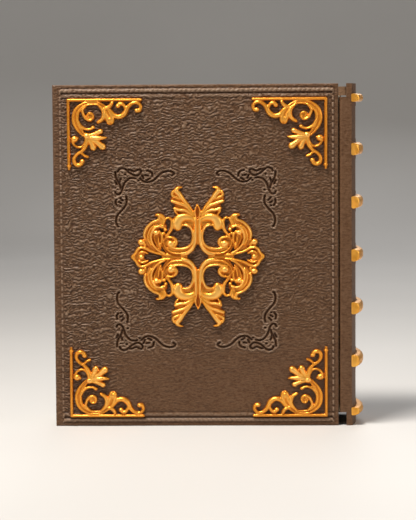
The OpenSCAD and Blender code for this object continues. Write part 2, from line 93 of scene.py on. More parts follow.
def make_camera():
    """The photograph's view: a long lens almost square to the back cover, from just below its head."""
    ahead = Vector((
        math.sin(CAMERA_YAW) * math.cos(CAMERA_PITCH),
        math.cos(CAMERA_YAW) * math.cos(CAMERA_PITCH),
        math.sin(CAMERA_PITCH),
    ))
    level = Vector((math.cos(CAMERA_YAW), -math.sin(CAMERA_YAW), 0))
    up = level.cross(ahead)
    right = math.cos(CAMERA_ROLL) * level + math.sin(CAMERA_ROLL) * up
    up = right.cross(ahead)
    data = bpy.data.cameras.new("camera")
    data.lens = CAMERA_LENS
    data.sensor_width = SENSOR_W
    camera = bpy.data.objects.new("camera", data)
    turn = Matrix((right, up, -ahead)).transposed().to_4x4()
    camera.matrix_world = Matrix.Translation(CAMERA_AT) @ turn
    bpy.context.scene.collection.objects.link(camera)
    bpy.context.scene.camera = camera


make_camera()
bpy.context.scene.view_settings.view_transform = "Standard"


# ------------ material helpers
class Shader:
    """A material's node tree, with short names for the nodes used here."""

    def __init__(self, name, **sockets):
        self.material = bpy.data.materials.new(name)
        self.material.use_nodes = True
        self.nodes = self.material.node_tree.nodes
        self.links = self.material.node_tree.links
        self.out = self.nodes["Principled BSDF"]
        self.fill(self.out, sockets)
        self.place = self.nodes.new("ShaderNodeTexCoord").outputs["Object"]

    @staticmethod
    def fill(node, values):
        """Values for a node's inputs, whose names have underscores for spaces."""
        for key, value in values.items():
            node.inputs[key.replace("_", " ")].default_value = value

    def node(self, kind, **values):
        node = self.nodes.new(kind)
        self.fill(node, values)
        return node

    def noise(self, scale, detail=2.0, stretch=(1, 1, 1), roughness=0.5, distortion=0.0):
        mapping = self.node("ShaderNodeMapping", Scale=stretch)
        node = self.node(
            "ShaderNodeTexNoise", Scale=scale, Detail=detail, Roughness=roughness, Distortion=distortion
        )
        self.links.new(self.place, mapping.inputs["Vector"])
        self.links.new(mapping.outputs["Vector"], node.inputs["Vector"])
        return node.outputs["Fac"]

    def wave(self, scale, direction):
        node = self.node("ShaderNodeTexWave", Scale=scale)
        node.bands_direction = direction
        self.links.new(self.place, node.inputs["Vector"])
        return node.outputs["Fac"]

    def attribute(self, name):
        node = self.nodes.new("ShaderNodeAttribute")
        node.attribute_name = name
        return node.outputs["Fac"]

    def ramp(self, value, stops):
        """Colours or greys at the given positions."""
        node = self.nodes.new("ShaderNodeValToRGB")
        elements = node.color_ramp.elements
        while len(elements) < len(stops):
            elements.new(0.5)
        for element, (at, colour) in zip(elements, stops):
            element.position = at
            if isinstance(colour, (int, float)):
                colour = (colour, colour, colour)
            element.color = (*colour, 1)
        self.links.new(value, node.inputs["Fac"])
        return node.outputs["Color"]

    def mix(self, factor, before, after):
        """The colour before, which gives way to the plain colour after as the factor rises from 0 to 1."""
        node = self.nodes.new("ShaderNodeMix")
        node.data_type = "RGBA"
        # The colour sockets come after the node's number and vector sockets
        self.links.new(factor, node.inputs[0])
        self.links.new(before, node.inputs[6])
        node.inputs[7].default_value = (*after, 1)
        return node.outputs[2]

    def colour(self, value):
        self.links.new(value, self.out.inputs["Base Color"])

    def roughness(self, value, low, high):
        self.links.new(self.ramp(value, [(0.2, low), (0.8, high)]), self.out.inputs["Roughness"])

    def bump(self, *layers):
        """Each layer is a height between 0 and 1 and the depth in millimetres that it stands for."""
        before = None
        for height, depth in layers:
            node = self.node("ShaderNodeBump", Distance=depth * MM)
            self.links.new(height, node.inputs["Height"])
            if before:
                self.links.new(before, node.inputs["Normal"])
            before = node.outputs["Normal"]
        self.links.new(before, self.out.inputs["Normal"])


# ------------ materials
def leather_material(name, relief):
    """Brown moulded leather grain; relief says that the mesh carries its height as an attribute, and then its
    hollows get painted shade and its crests a painted highlight.
    """
    s = Shader(name, Specular_IOR_Level=0.28)
    grain = s.noise(900, 4, (0.55, 1, 1.3), 0.6, 0.3)
    creases = s.noise(560, 2, (0.45, 1, 1.5), 0.5, 0.7)
    patches = s.noise(28, 3)
    base = s.ramp(patches, [(0.3, (0.079, 0.032, 0.0105)), (0.7, (0.097, 0.042, 0.015))])
    base = s.mix(s.ramp(grain, [(0.34, 0.0), (0.7, 0.7)]), base, (0.165, 0.092, 0.05))
    base = s.mix(s.ramp(grain, [(0.3, 0.6), (0.46, 0.0)]), base, (0.055, 0.024, 0.01))
    if relief:
        height = s.attribute("relief")
        # Painted shade along the creases of the crease noise, whose valleys the bump also sinks
        base = s.mix(s.ramp(creases, [(0.3, 0.5), (0.46, 0.0)]), base, (0.05, 0.024, 0.01))
        # Painted shade in the hollows, wrinkle valleys and pressed lines, from the height attribute
        base = s.mix(s.ramp(height, [(0.1, 0.9), (0.5, 0.0)]), base, (0.036, 0.012, 0.002))
        # Painted highlight on the crests of the wrinkles and beads, from the height attribute
        base = s.mix(s.ramp(height, [(0.54, 0.0), (0.88, 0.75)]), base, (0.27, 0.18, 0.118))
    s.colour(base)
    s.roughness(grain, 0.4, 0.58)
    s.bump((grain, 0.14), (creases, 0.3 if relief else 0.12))
    return s.material


def gilt_material(name, relief):
    """Silk gold; where the mesh carries its height as an attribute, its hollows get a deeper orange painted
    shade and its crests a cream painted highlight.
    """
    s = Shader(name, Metallic=0.66, Roughness=0.3, Coat_Weight=0.1, Coat_Roughness=0.2)
    low, high = (0.8, 0.33, 0.03), (1.0, 0.5, 0.08)
    if relief:
        low, high = (0.78, 0.3, 0.02), (0.92, 0.385, 0.035)
    base = s.ramp(s.noise(140, 3), [(0.3, low), (0.7, high)])
    if relief:
        height = s.attribute("relief")
        # Painted shade: deeper orange in the hollows between strokes
        base = s.mix(s.ramp(height, [(0.25, 0.95), (0.74, 0.0)]), base, (0.4, 0.09, 0.003))
        # Painted highlight: cream on the crests of the strokes
        base = s.mix(s.ramp(height, [(0.74, 0.0), (1.0, 0.75)]), base, (1.0, 0.57, 0.14))
    s.colour(base)
    s.roughness(s.noise(420, 3), 0.27, 0.4)
    s.bump((s.noise(1100, 4), 0.09), (s.noise(260, 3), 0.18 if relief else 0.45))
    return s.material


def paper_material():
    """Ivory paper with the fine lines of page edges."""
    s = Shader("ivory_pages", Roughness=0.75)
    lines = s.noise(900, 3, (0.02, 1, 0.02))
    tint = s.ramp(s.noise(60, 3), [(0.3, (0.62, 0.52, 0.36)), (0.7, (0.72, 0.63, 0.46))])
    s.colour(s.mix(s.ramp(lines, [(0.4, 0.7), (0.6, 0.0)]), tint, (0.4, 0.3, 0.18)))
    s.bump((lines, 0.15))
    return s.material


def felt_material():
    """Short red felt."""
    s = Shader("red_felt", Roughness=0.95, Sheen_Weight=0.6, Sheen_Roughness=0.4)
    fibre = s.noise(1800, 5, (1, 1, 1), 0.7, 1.5)
    s.colour(s.ramp(fibre, [(0.3, (0.1, 0.008, 0.012)), (0.7, (0.22, 0.022, 0.03))]))
    s.bump((fibre, 0.25), (s.noise(220, 4), 0.2))
    return s.material


def ring_material():
    """Dark satin rings with faint turning marks."""
    s = Shader("dark_ring", Roughness=0.4)
    s.colour(s.ramp(s.noise(160, 4), [(0.3, (0.02, 0.014, 0.01)), (0.7, (0.038, 0.026, 0.019))]))
    s.roughness(s.noise(500, 3), 0.32, 0.5)
    s.bump((s.wave(1300, "Z"), 0.03), (s.noise(1200, 3), 0.03))
    return s.material


def metal_material(name, dark, light, roughness, direction):
    """Turned or brushed metal with fine lines across one axis."""
    s = Shader(name, Metallic=1.0, Roughness=roughness)
    stretch = {"X": (60, 1, 1), "Z": (1, 1, 60)}[direction]
    lines = s.noise(40, 4, stretch, 0.7)
    s.colour(s.ramp(lines, [(0.3, dark), (0.7, light)]))
    s.roughness(lines, roughness - 0.07, roughness + 0.1)
    s.bump((lines, 0.03))
    return s.material


LEATHER = leather_material("brown_grain_boards", True)
LEATHER_PLAIN = leather_material("brown_grain_spine", False)
GILT = gilt_material("silk_gold", False)
GILT_RELIEF = gilt_material("silk_gold_relief", True)
PAPER = paper_material()
FELT = felt_material()
RING = ring_material()
STEEL = metal_material("brushed_steel", (0.42, 0.43, 0.45), (0.62, 0.63, 0.65), 0.32, "Z")
SPRING = metal_material("spring_strip", (0.2, 0.24, 0.32), (0.34, 0.38, 0.46), 0.28, "X")
BRASS = metal_material("turned_brass", (0.5, 0.33, 0.11), (0.72, 0.5, 0.2), 0.26, "Z")


# ------------ mesh helpers
def make_mesh(name, verts, faces, smooth=True):
    """A mesh from vertices in millimetres."""
    mesh = bpy.data.meshes.new(name)
    mesh.from_pydata((np.asarray(verts) * MM).tolist(), [], [list(map(int, f)) for f in faces])
    mesh.validate()
    if smooth:
        mesh.shade_smooth()
    else:
        mesh.shade_flat()
    return mesh


def make_piece(name, mesh, body, slot, material, *replaced):
    """A visible piece on a body, which may take the place of CAD nodes."""
    piece = bpy.data.objects.new(name, mesh)
    bpy.context.scene.collection.objects.link(piece)
    mesh.materials.clear()
    mesh.materials.append(material)
    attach(piece, body)
    if replaced:
        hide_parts(*replaced)
    return piece


def applied(data, *modifiers):
    """A mesh in place of a mesh or text, with modifiers applied, each given as a type and its settings."""
    holder = bpy.data.objects.new("holder", data)
    bpy.context.scene.collection.objects.link(holder)
    for kind, settings in modifiers:
        modifier = holder.modifiers.new(kind, kind)
        for key, value in settings.items():
            setattr(modifier, key, value)
    graph = bpy.context.evaluated_depsgraph_get()
    made = bpy.data.meshes.new_from_object(holder.evaluated_get(graph))
    bpy.data.objects.remove(holder)
    bpy.data.batch_remove([data])
    return made


def placed(mesh, matrix):
    """A copy of the mesh moved by a matrix, with its faces still outwards if that mirrors it."""
    copy = mesh.copy()
    copy.transform(matrix)
    if matrix.determinant() < 0:
        copy.flip_normals()
    return copy


def joined(parts):
    """Vertices and faces of several parts as one list of each."""
    verts, faces = [], []
    for points, polygons in parts:
        faces += [[i + len(verts) for i in polygon] for polygon in polygons]
        verts += points
    return verts, faces


def tube_faces(rows, n):
    """Faces of a tube with closed ends, from rows of n vertices round it."""
    faces = []
    for i in range(rows - 1):
        for j in range(n):
            a, b = i * n + j, i * n + (j + 1) % n
            faces.append((a, b, b + n, a + n))
    return faces + [tuple(range(n))[::-1], tuple((rows - 1) * n + j for j in range(n))]


def loop_pairs(loop):
    """Each item of a loop with the next one."""
    return zip(loop, loop[1:] + loop[:1])


def grid_cell(i, j, nz):
    """The four vertices round a cell of a grid with nz vertices in a column."""
    return [i * nz + j, (i + 1) * nz + j, (i + 1) * nz + j + 1, i * nz + j + 1]


def grid_border(nx, nz):
    """The outer vertices of a grid, once round."""
    return (
        [i * nz for i in range(nx)]
        + [(nx - 1) * nz + j for j in range(1, nz)]
        + [i * nz + nz - 1 for i in range(nx - 2, -1, -1)]
        + [j for j in range(nz - 2, 0, -1)]
    )


def slab_faces(nx, nz):
    """Faces of a closed slab, whose base is a second grid of vertices after that of its top."""
    n = nx * nz
    faces = []
    for i in range(nx - 1):
        for j in range(nz - 1):
            cell = grid_cell(i, j, nz)
            faces += [cell, [n + k for k in cell[::-1]]]
    return faces + [(b, a, n + a, n + b) for a, b in loop_pairs(grid_border(nx, nz))]


# ------------ smooth noise
def noise_2d(x, y, seed):
    """Gradient noise of about -0.7 to 0.7 with unit cells, repeatable for a seed."""
    size = 256
    angle = np.random.default_rng(seed).random((size, size)) * 2 * math.pi
    gx, gy = np.cos(angle), np.sin(angle)
    x0, y0 = np.floor(x).astype(int), np.floor(y).astype(int)
    fx, fy = x - x0, y - y0

    def corner(i, j):
        a, b = (x0 + i) % size, (y0 + j) % size
        return gx[a, b] * (fx - i) + gy[a, b] * (fy - j)

    ux = fx ** 3 * (fx * (fx * 6 - 15) + 10)
    uy = fy ** 3 * (fy * (fy * 6 - 15) + 10)
    low = corner(0, 0) * (1 - ux) + corner(1, 0) * ux
    high = corner(0, 1) * (1 - ux) + corner(1, 1) * ux
    return low * (1 - uy) + high * uy


def smoothstep(low, high, x):
    """0 below low, 1 above high and smooth between them; low may be the larger one."""
    t = np.clip((x - low) / (high - low), 0, 1)
    return t * t * (3 - 2 * t)


# ------------ strokes
def spline(knots, spacing):
    """Points about spacing apart on a smooth curve through the knots, whose other values go with them."""
    k = np.asarray(knots, float)
    padded = np.vstack([2 * k[0] - k[1], k, 2 * k[-1] - k[-2]])
    points = []
    for a, b, c, d in zip(padded, padded[1:], padded[2:], padded[3:]):
        steps = max(2, int(np.linalg.norm((c - b)[:2]) / spacing))
        for t in np.arange(steps) / steps:
            curl = 2 * a - 5 * b + 4 * c - d + t * (3 * (b - c) + d - a)
            points.append(b + 0.5 * t * (c - a + t * curl))
    points.append(k[-1])
    return np.array(points)


SIDE = np.linspace(-1, 1, 21)
DOME = np.sqrt(np.clip(1 - SIDE ** 2, 0, 1))
# Cross-sections of a stroke from side to side, as shares of its height
PROFILES = {
    "round": DOME,
    "groove": DOME ** 0.6 * (1 - 0.45 * np.exp(-((SIDE / 0.28) ** 2))),
    "reeded": DOME ** 0.55 * (0.66 + 0.34 * np.cos(SIDE * 2 * math.pi * 1.05)),
    # Raised along one side and falling away to the other
    "left": DOME ** 0.5 * (0.4 + 0.6 * np.exp(-(((SIDE - 0.5) / 0.42) ** 2))),
}
# Depth of a stroke's foot under the face of the board, the step along it, and the angles of its end rings
SUNK, STROKE_STEP = 0.7, 0.5
CAP_ANGLES = (0.45, 0.85, 1.2, 1.5)


def sweep(knots, height, kind="round"):
    """A closed raised stroke with round ends: knots are x, y and width, and kind is one of PROFILES."""
    p = spline(knots, STROKE_STEP)
    widest = p[:, 2].max()
    tangent = np.gradient(p[:, :2], axis=0)
    tangent /= np.linalg.norm(tangent, axis=1)[:, None] + 1e-9
    rows = [(p[i, :2], tangent[i], p[i, 2], height * (p[i, 2] / widest) ** 0.5) for i in range(len(p))]

    def cap(row, way):
        at, t, w, h = row
        return [
            (at + way * t * w / 2 * math.sin(a), t, w * math.cos(a), h * math.cos(a) ** 0.6)
            for a in CAP_ANGLES
        ]

    rows = cap(rows[0], -1)[::-1] + rows + cap(rows[-1], 1)
    verts = []
    for at, t, w, h in rows:
        across = np.array([-t[1], t[0]])
        verts.append((*(at - across * w / 2), -SUNK))
        for s, z in zip(SIDE, PROFILES[kind]):
            verts.append((*(at + across * w / 2 * s), z * h))
        verts.append((*(at + across * w / 2), -SUNK))
    return verts, tube_faces(len(rows), len(SIDE) + 2)


def ball(x, y, r, height):
    """A knob: half an ellipsoid standing on the board."""
    return sweep([(x - 0.02, y, 2 * r), (x + 0.02, y, 2 * r)], height)


def vertex_array(mesh):
    """The mesh's vertices in millimetres."""
    flat = np.empty(3 * len(mesh.vertices))
    mesh.vertices.foreach_get("co", flat)
    return flat.reshape(-1, 3) / MM


def set_relief(mesh, level):
    """Stores each vertex's height, from 0 in a hollow to 1 on a crest, for the materials, which paint shade
    in the hollows and a highlight on the crests.
    """
    layer = mesh.attributes.new("relief", "FLOAT", "POINT")
    layer.data.foreach_set("value", np.clip(level, 0, 1))


# Height over the board at which gilt counts as a crest
CREST = 2.9


def fused(name, parts, voxel):
    """One clean closed mesh from overlapping strokes."""
    mesh = make_mesh(name, *joined(parts))
    mesh = applied(
        mesh,
        ("REMESH", {"mode": "VOXEL", "voxel_size": voxel * MM}),
        ("SMOOTH", {"factor": 0.5, "iterations": 4}),
        ("DECIMATE", {"ratio": 0.5}),
    )
    mesh.shade_smooth()
    mesh.name = name
    set_relief(mesh, vertex_array(mesh)[:, 2] / CREST)
    return mesh


# ------------ gilt corners and medallion
BAR_LONG, BAR_SHORT, BAR_W = 46.5, 43, 2.2
# Strokes of a corner ornament, from the corner of its bars: knots of x, y and width, then the height
CORNER = [
    ([(1.1, 1.1, BAR_W), (BAR_LONG - 1.1, 1.1, BAR_W)], 1.9),
    ([(1.1, 1.1, BAR_W), (1.2, BAR_SHORT - 2.6, BAR_W), (1.3, BAR_SHORT - 0.3, 0.7)], 1.9),
    ([(1.3, BAR_SHORT - 2.8, 1.6), (1.3, BAR_SHORT - 1.7, 3.4), (1.35, BAR_SHORT - 0.1, 0.5)], 2.2),
    # Crescent with the bell at its head and the hook at its foot
    ([(12, 23.8, 2.4), (9, 20.6, 3.4), (6.5, 17, 4.3), (5.4, 12.8, 4.8), (6.5, 7.6, 4.5),
      (10.6, 4, 3.5), (15, 3.1, 2.8), (19.7, 3.5, 2.7), (23, 5.6, 3.4), (25.2, 8.6, 4.8),
      (26.3, 11.6, 5.8), (26.7, 13.8, 5.6)], 2.8, "groove"),
    ([(22.8, 7, 3), (24.4, 10, 4.6), (25.6, 12.6, 5)], 1.9),
    ([(6.8, 13.6, 2), (8.4, 16.6, 2.1), (11.1, 18.6, 2), (14, 18.9, 1.9), (16.2, 17.9, 2.2)], 2.5),
    ([(12.2, 4.4, 1.8), (10, 7.2, 2), (10.4, 9.9, 2.1), (11.9, 12.4, 2.1), (14.3, 13.4, 2),
      (16.2, 12, 1.9), (15.9, 9.8, 1.8), (14, 9.1, 1.7), (12.8, 10.4, 1.7),
      (13.6, 11.9, 1.5)], 2.5),
    ([(19.2, 3.8, 1.6), (22.2, 7, 2.8), (23, 10.2, 3.2), (21.8, 13, 2.8), (19.4, 14.6, 2.3)], 2.6),
    ([(23.9, 6.2, 2.4), (26.6, 4.9, 2.7), (27.9, 3, 2.4)], 2.5),
    # Branch along the long bar
    ([(26.6, 7.4, 2.6), (29.2, 10.6, 3.3), (32.6, 11.3, 3.4), (35.6, 9.4, 3.6), (37.6, 5.6, 3),
      (40.4, 3.2, 2.5), (43.6, 3.1, 2.4), (45.4, 5.2, 2.4), (44.6, 7.6, 2.6), (43, 7.9, 2.4)], 2.5),
    ([(36.4, 7, 2), (34.8, 4, 2.5), (32.6, 3.5, 2.6), (31.4, 4.6, 2.2)], 2.4),
    # Palmette
    ([(12.4, 22.8, 4.4), (15.4, 24.8, 6.6), (17.6, 25.8, 4.8)], 1.2),
    ([(12.4, 22.8, 2.2), (16.8, 21.9, 2.9), (20.7, 20.4, 3.3)], 2.9),
    ([(13.2, 23.8, 2.4), (18, 24.2, 3.5), (22.2, 24.3, 2.6), (24.3, 24, 1.1)], 3),
    ([(13.2, 24.2, 2.4), (18, 26.6, 3.7), (21.9, 29.6, 4.4)], 3),
    ([(13, 24.6, 2.4), (15.1, 27.6, 3.6), (16.3, 30.2, 4)], 2.9),
    # Stem down the short bar
    ([(12.4, 24.8, 3.4), (11.6, 29.2, 2.9), (9.2, 32.2, 2.4), (6, 34.4, 2.3), (4.4, 37.1, 2.6),
      (4.8, 39.6, 2.8), (6.9, 40.8, 2.9), (9, 39.6, 2.9), (9.5, 38.2, 2.2)], 2.5),
    ([(8.6, 33, 1.8), (10.8, 35, 2), (12.7, 35.8, 1.9)], 2.1),
    ([(11.6, 25.8, 1.6), (9.9, 29, 1.7), (7.3, 29.9, 1.8), (4.8, 28.6, 1.9), (3.6, 26.2, 2.2),
      (4.6, 24.6, 2.6), (6.6, 24.4, 1.9)], 2.3),
]
# Knobs: x, y, radius and height
CORNER_KNOBS = [
    (12.4, 23, 2.2, 3.1), (4.8, 24.9, 2.2, 2.7), (26.5, 13.4, 2.4, 2.5), (16.2, 17.8, 1.3, 2.5),
    (43.1, 7.6, 1.6, 2.7), (20.6, 20.3, 1.8, 3), (14.5, 11.2, 1.8, 1.7), (31.6, 4.8, 1.6, 2.6),
    (9.4, 38.4, 1.6, 2.6), (21.7, 29.4, 2.3, 3), (16.2, 30, 2.1, 2.9),
]

# One quarter of the medallion, from its middle
MEDALLION = [
    # Petal over the ring, and the ring with its volute
    ([(0.8, 21.6, 3.2), (4, 23.8, 4.6), (8.2, 24.4, 5.8), (11.4, 22.8, 6.8), (12.4, 20.4, 7),
      (12.2, 18.9, 6.2)], 3.1),
    ([(1.6, 20.4, 4.4), (5.2, 20.8, 4.2), (9, 20.4, 3.2)], 1.5),
    ([(9.6, 19.2, 1), (7.6, 19.6, 1.8), (5.4, 18.9, 2.1), (3.8, 16.9, 2), (3, 14, 1.7),
      (2.9, 11.2, 1.6), (3.8, 8.2, 1.7), (5.8, 6.1, 1.8), (8.8, 5.1, 1.9), (12.8, 5, 1.8),
      (15.8, 5.8, 1.6)], 3),
    ([(0, 22, 2.6), (0, 8.6, 2.4)], 1.9),
    ([(1.2, 23, 2.2), (1.3, 16, 2.5), (1.4, 11, 2.6), (2, 7.6, 2.6), (3.7, 4.3, 2.6),
      (6.4, 2.1, 2.4), (9.6, 1.3, 2)], 3),
    ([(7.2, 0, 2.4), (21, 0, 2.6)], 1.6),
    ([(4.4, 6.2, 3), (8, 4, 3.4), (13, 3.8, 3.2), (16.6, 4.6, 3)], 1.6),
    ([(1.6, 23, 3.0), (1.8, 15.5, 3.8), (1.9, 11.8, 3.9), (2.5, 8, 4.2), (4.3, 4.9, 4.4),
      (7.6, 2.7, 4.6), (12.3, 2.2, 4.6), (16.4, 3, 4.2), (19.6, 5.6, 3.4), (20.9, 8.6, 2.6),
      (19.8, 11.3, 2.2), (17.2, 12.3, 2)], 2.7, "reeded"),
    ([(18.4, 12.1, 1.7), (15.4, 11.9, 2), (13.2, 9.9, 2.4), (13.4, 7.6, 2.2), (15.8, 5.7, 1.8),
      (18, 5.6, 1.4)], 2.6),
    ([(18, 8.3, 6.2), (14.6, 8.7, 5)], 1.3),
    ([(15.6, 8.2, 3.4), (13.4, 8.6, 2.2)], 2.6),
    # Wing: a main rib along its inner edge, two hollows between ribs, and lobes down its outer edge
    ([(3.6, 27.4, 2.4), (8.2, 31.8, 5.2), (12.2, 34.9, 7.4), (13.4, 37.6, 6.4),
      (12.9, 40.2, 4.2)], 1.4),
    ([(2.6, 26.2, 2.4), (7.6, 29, 4.8), (11.6, 30, 5.8), (13.4, 30.2, 2.6)], 1.4),
    ([(1.8, 25.6, 1.6), (5.0, 30.6, 2.3), (8.6, 34.9, 2.9), (11.2, 38.4, 3.6), (13, 40.4, 3.6),
      (11.8, 42.2, 2.4), (9.4, 42.7, 1)], 3),
    ([(2.4, 26.4, 1.4), (7.2, 31, 2.3), (11.8, 33, 2.7), (15.4, 34.2, 2.5)], 2.9),
    ([(9.4, 35, 1.0), (12.6, 36.2, 2.1), (15.4, 37.8, 2.3), (15, 40, 2)], 2.7),
    ([(2.6, 25.4, 1.4), (7.4, 28.4, 2.3), (11, 28.8, 2.5), (13.8, 29.8, 2.4)], 2.9),
    ([(13.4, 29.6, 1.8), (13.8, 28.1, 1.8), (12.6, 26.6, 1.6)], 2.5),
    # Bud
    ([(0.7, 23.8, 1.2), (1.5, 26.6, 1.4), (1.3, 29, 1.3), (0.4, 31.4, 1), (0, 32.4, 0.6)], 2.8),
    ([(0, 24.6, 2), (0, 28, 2.6), (0, 31, 1)], 0.9),
    # Acanthus down the side
    ([(20.2, 18.6, 3.2), (22.6, 22, 3.8), (24.6, 20.6, 5), (28.4, 17.8, 5.4), (30.6, 14.2, 5.2),
      (30.8, 10.4, 4.8), (28.6, 6.8, 4), (25, 3.6, 3)], 1.5),
    ([(24.6, 25.4, 1.6), (22.6, 23.6, 3.8), (21.2, 20.2, 3.4)], 1.8),
    ([(24.6, 16.6, 3), (24.8, 12, 4.8), (23.6, 7, 3.6)], 1.2),
    ([(25.6, 26.2, 0.9), (23.6, 25.6, 2), (23.9, 22.9, 2), (27.6, 21.2, 2), (31, 18, 2.2),
      (32.6, 14, 2.2), (32.2, 10.8, 1.8)], 2.9),
    ([(25.6, 20.2, 1), (28.6, 17.6, 1.5), (30.2, 14.2, 1.6), (30.4, 10.8, 1.5),
      (28.8, 7.4, 1.3)], 2.6),
    ([(20.6, 18.2, 1.5), (22.8, 18.9, 1.8), (25.8, 18.1, 2), (28, 15, 2), (28.6, 11.2, 1.9),
      (27, 7, 1.8), (24, 4, 1.6), (20.6, 2.2, 1.6)], 2.9),
    ([(25.8, 25.4, 1), (23.8, 25.8, 2), (21.6, 25, 2.4), (20.3, 23, 2.6), (20.8, 21, 2.2),
      (21.4, 19.4, 1.6)], 2.5),
    ([(19.8, 23.2, 1.5), (17.6, 24, 1.8), (15.9, 22.4, 2.2), (15.6, 19.6, 2.7), (16.2, 16.8, 2.5),
      (17.9, 14.3, 2), (19.6, 12.7, 1.4)], 2.6),
    ([(25.4, 15, 3.2), (26, 12.2, 2.6), (25.4, 9, 2), (23.4, 5.6, 1.6)], 2.6, "left"),
    ([(23.4, 15.8, 1.5), (22, 13.4, 1.9), (21.9, 10.2, 1.6), (22.8, 6.6, 1.2)], 2.5),
    ([(24.2, 12, 1.2), (23.9, 8.6, 1.5), (22.6, 5.2, 1.2)], 2.5),
    # Ribs that run out to the side tip
    ([(17, 1.3, 1.4), (21.4, 1.5, 1.7), (25.6, 2.5, 1.8), (29, 3.7, 2), (32, 5.3, 2.1),
      (34.8, 5.8, 2.2), (36.9, 4.5, 2.2), (38, 2.5, 2), (39.6, 0.9, 1.8)], 2.6),
    ([(33.4, 9.2, 2.2), (32.2, 7.2, 2)], 2.5),
    ([(30.6, 2.1, 1.2), (32.6, 3, 1.8), (34.4, 3.3, 1.9), (35.8, 2.4, 1.6)], 2.6),
    ([(32.4, 2.8, 2.6), (35, 1.6, 5), (37.2, 0, 3.4)], 1.5),
]
MEDALLION_KNOBS = [
    (16.6, 8, 2.5, 3.1), (25.3, 14.8, 2.0, 3.1), (34.7, 9, 2.2, 2.9), (19.8, 16.7, 1.3, 2.4),
    (21.7, 18.6, 1.4, 2.6), (20.8, 14.4, 1.2, 2.4), (39.6, 0.3, 1.5, 2.4), (34.6, 0, 1.9, 3),
]


def stroke_parts(strokes, knobs):
    """All the strokes and knobs of an ornament."""
    return [sweep(*stroke) for stroke in strokes] + [ball(*knob) for knob in knobs]


def in_four(parts):
    """The parts mirrored into all four quarters."""
    made = []
    for sx, sy in ((1, 1), (-1, 1), (1, -1), (-1, -1)):
        for verts, faces in parts:
            turned = [(sx * x, sy * y, z) for x, y, z in verts]
            made.append((turned, faces if sx * sy > 0 else [f[::-1] for f in faces]))
    return made


def onto_board(at_x, at_z, mirror_x, mirror_z, side):
    """From the ornament's own plane, x right, y up and z outwards, onto the back (-1) or front (1) board."""
    turn = Matrix(((mirror_x, 0, 0), (0, 0, side), (0, mirror_z, 0))).to_4x4()
    return Matrix.Translation(Vector((at_x, side * HALF_T, at_z)) * MM) @ turn


def make_ornaments():
    """Four corners and a medallion on each board, all from one corner and one medallion."""
    corner = fused("corner_gilt", stroke_parts(CORNER, CORNER_KNOBS), 0.26)
    rose = fused("rose_gilt", in_four(stroke_parts(MEDALLION, MEDALLION_KNOBS)), 0.32)
    for cover, side, body in (("back", -1, "case"), ("front", 1, "cover")):
        places = []
        for i in range(1, 5):
            node = f"{cover}_corner_{i}"
            lo, hi = box_mm(node)
            # Corners 2 and 4 are at the spine, and corners 3 and 4 at the tail
            at_x, mirror_x = (hi[0], -1) if i in (2, 4) else (lo[0], 1)
            at_z, mirror_z = (lo[2], 1) if i in (3, 4) else (hi[2], -1)
            places.append((node, corner, onto_board(at_x, at_z, mirror_x, mirror_z, side)))
        lo, hi = box_mm(f"{cover}_medallion")
        middle = onto_board((lo[0] + hi[0]) / 2, (lo[2] + hi[2]) / 2, 1, 1, side)
        places.append((f"{cover}_medallion", rose, middle))
        for node, mesh, matrix in places:
            make_piece(f"{node}_gilt", placed(mesh, matrix), body, "gilt_trim", GILT_RELIEF, node)
    bpy.data.meshes.remove(corner)
    bpy.data.meshes.remove(rose)


# ------------ boards
# Pressed lines of a corner flourish, from its outer corner towards the middle: first across, then down
PRESSED = [
    [(35.8, 6), (37, 4.8), (35.9, 3.6), (33.3, 3.2), (30.4, 3.9), (28, 5.5), (26.4, 7.1),
     (24.5, 8.7), (22.4, 9.7), (20, 10), (17.7, 9.2), (16.1, 7.6)],
    [(13.4, 7.6), (11.6, 7.3), (9.7, 7.6), (7.9, 8.9), (6.4, 10.8), (5.5, 13.2), (4.6, 15.8),
     (3.1, 17.4), (1.5, 17.1), (0.9, 15.8)],
    [(1, 3.6), (1.3, 6.8), (2.6, 9.5), (3.8, 11.6), (4.3, 13.7)],
    [(0.8, 9.2), (1.8, 11.3)],
    [(2.6, 3.5), (3.5, 1.9), (5.5, 1.3), (7.3, 2), (8.9, 3.5), (10.5, 4.7), (12.4, 5.6), (14.2, 6),
     (15.9, 5.1), (16.9, 3.6), (16.3, 2.3), (15, 2.3), (14, 2.8)],
    [(8.9, 2.3), (10.5, 2.4), (12.1, 3.2), (13.4, 3.2)],
    [(4.4, 7.6), (3.5, 10)],
    [(20.3, 2.8), (22.4, 3.4), (23.5, 4.6), (23.7, 6.4)],
    [(17.4, 5.7), (18.2, 7.7)],
    [(22.2, 7.6), (20.3, 8.7)],
    [(19.2, 5.7), (21.1, 6)],
    [(7.5, 18.4), (7.9, 20.8), (7.6, 23.2), (6.3, 25.3), (4.3, 27.7), (2.3, 29.8), (1.3, 32.7),
     (1.5, 35.4), (2.4, 37.2)],
    [(1.3, 20.6), (1, 22.7), (2.1, 24.4)],
    [(3.9, 19.5), (5.4, 21.2)],
    [(3.1, 21.9), (4.4, 22.7)],
]
PRESSED_DOTS = [(35.6, 5.9), (15, 8.9), (6.9, 5.2), (7.6, 15), (3.7, 24.5), (2.5, 37)]
# How far from its line a press has an effect, and a distance that stands for none at all
PRESSED_REACH, FAR = 2.2, 9.0
# From the middle of the flourishes to their outer corners, and that middle from the medallion's
FLOURISH_W, FLOURISH_H = 50, 57.4
FLOURISH_SHIFT = (-1.2, -1.6)
STITCH_PITCH = 4.15
# Insets of the sewn lines from fore edge and spine edge, and of the beaded lines from head and tail
SEWN_FORE, SEWN_SPINE = 4.7, 3.3
BEADED_HEAD, BEADED_TAIL = 3.6, 3.8
# Insets of the field inside those lines from fore edge, spine edge, and head and tail
FIELD_FORE, FIELD_SPINE, FIELD_END = 5, 3.2, 6


